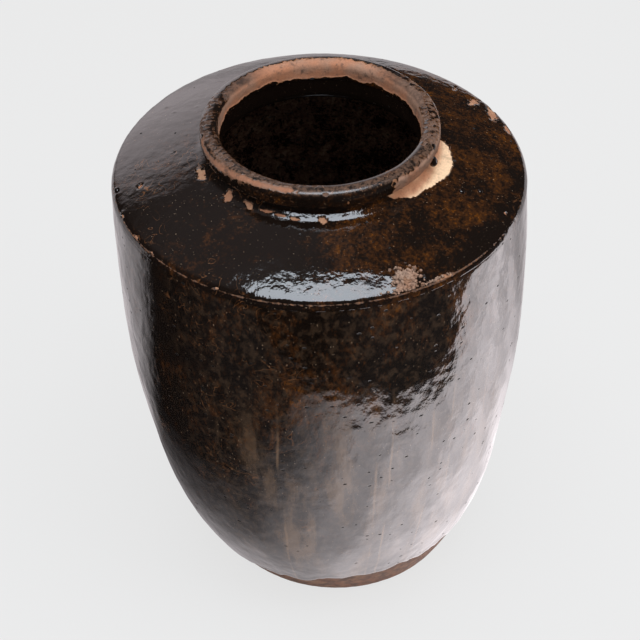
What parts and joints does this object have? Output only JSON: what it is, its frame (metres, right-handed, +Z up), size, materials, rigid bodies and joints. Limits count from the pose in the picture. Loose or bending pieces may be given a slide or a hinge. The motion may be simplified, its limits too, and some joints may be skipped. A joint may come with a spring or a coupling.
{
  "type": "storage jar",
  "caption": "Glazed stoneware storage jar with a sloping shoulder, sharp arris, short neck, rolled lip and wide open mouth, narrowing to a flat bare foot.",
  "frame": {"origin": "centre of the foot, on the ground that the jar stands on", "axes": "+Z up along the jar's axis, through the mouth; the side that the picture shows faces -Y"},
  "size_m": [0.3064, 0.3064, 0.4042],
  "materials": {
    "fired_clay": "bare fired stoneware, matte",
    "worn_lip": "bare and worn stoneware, matte",
    "outer_glaze": "gloss dark brown iron glaze",
    "inner_glaze": "gloss dark brown iron glaze",
    "kiln_grit": "rough fused grit",
    "run_glaze": "gloss black brown iron glaze"
  },
  "bodies": {
    "root": {"base_slab": "fired_clay", "lower_wall": "fired_clay", "upper_wall": "fired_clay", "shoulder": "fired_clay", "neck_collar": "fired_clay", "rim_lip": "worn_lip", "wall_glaze": "outer_glaze", "shoulder_glaze": "outer_glaze", "inner_glaze": "inner_glaze", "kiln_grit": "kiln_grit", "glaze_beads": "run_glaze"}
  },
  "joints": []
}
